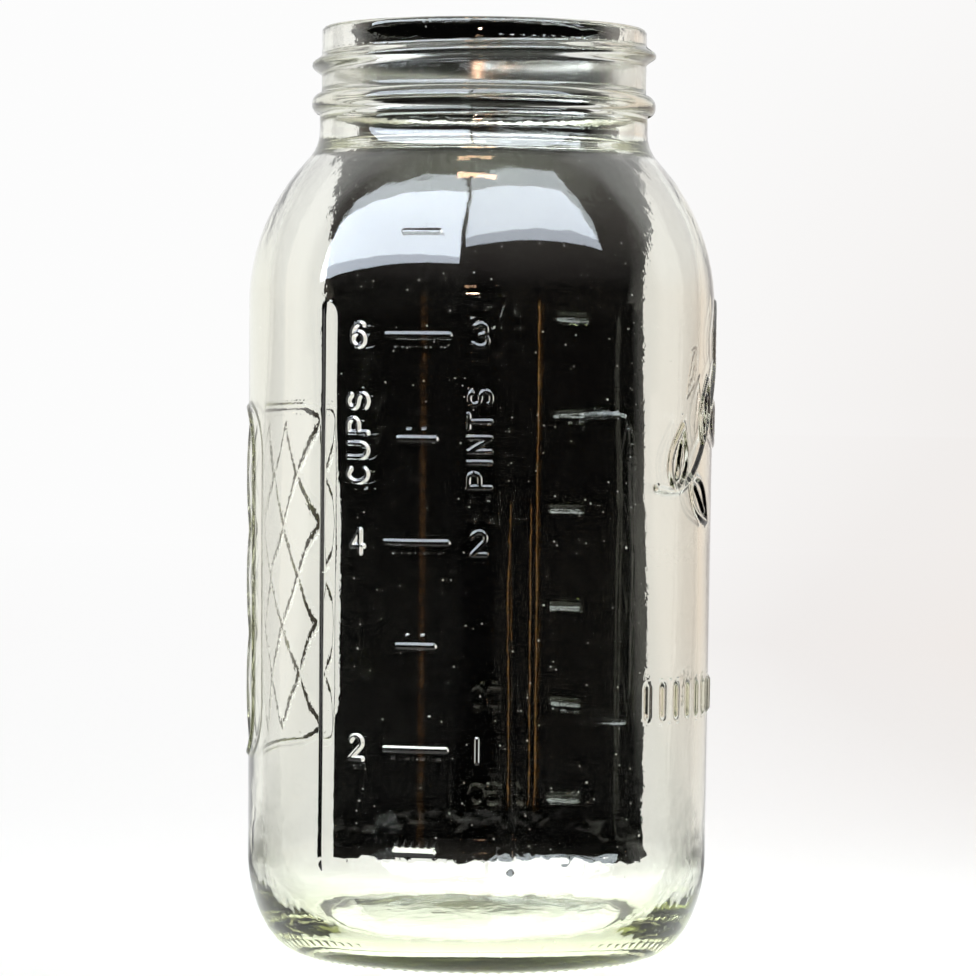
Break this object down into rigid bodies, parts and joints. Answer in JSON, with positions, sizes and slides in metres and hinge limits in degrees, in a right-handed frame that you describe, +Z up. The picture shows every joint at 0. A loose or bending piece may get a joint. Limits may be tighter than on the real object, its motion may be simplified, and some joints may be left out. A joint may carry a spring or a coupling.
{
  "type": "wide-mouth glass jar",
  "caption": "Open wide-mouth half-gallon glass preserving jar with a screw-thread finish, round shoulder, raised measuring panels and a pushed-up base.",
  "frame": {"origin": "middle of the base, on the surface that the jar stands on", "axes": "+Z up along the jar's axis, -Y towards the front measuring panel"},
  "size_m": [0.1175, 0.1175, 0.231],
  "materials": {
    "clear_glass": "clear, fire-polished, with a faint green tint where the glass is thick"
  },
  "bodies": {
    "root": {"glass_jar": "clear_glass"}
  },
  "joints": []
}
